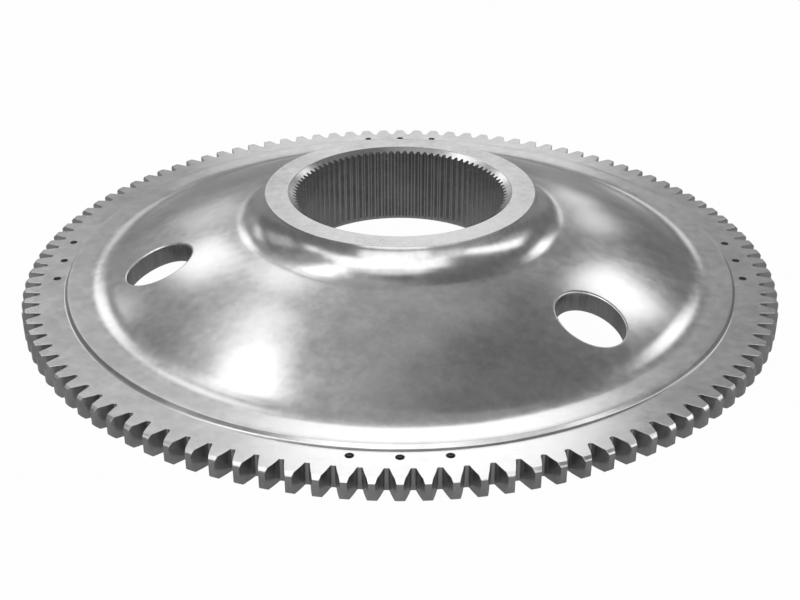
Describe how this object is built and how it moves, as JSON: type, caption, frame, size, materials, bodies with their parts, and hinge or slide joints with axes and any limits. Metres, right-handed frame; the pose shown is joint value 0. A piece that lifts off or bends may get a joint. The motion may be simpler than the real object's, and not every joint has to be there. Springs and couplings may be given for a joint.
{
  "type": "reaction hub",
  "caption": "Dished one-piece steel hub that holds a planetary ring gear still: toothed rim with tapped holes, domed web with round windows, splined sleeve.",
  "frame": {"origin": "on the hub's axis, in the plane of the rim's flat bottom face", "axes": "+Z along the axis from the rim towards the neck, +X and +Y through tooth centres; the picture looks along +Y from above"},
  "size_m": [0.88, 0.88, 0.1196],
  "materials": {
    "steel": "satin machined steel, bare, with faint mottling"
  },
  "bodies": {
    "root": {"reaction_hub": "steel"}
  },
  "joints": []
}
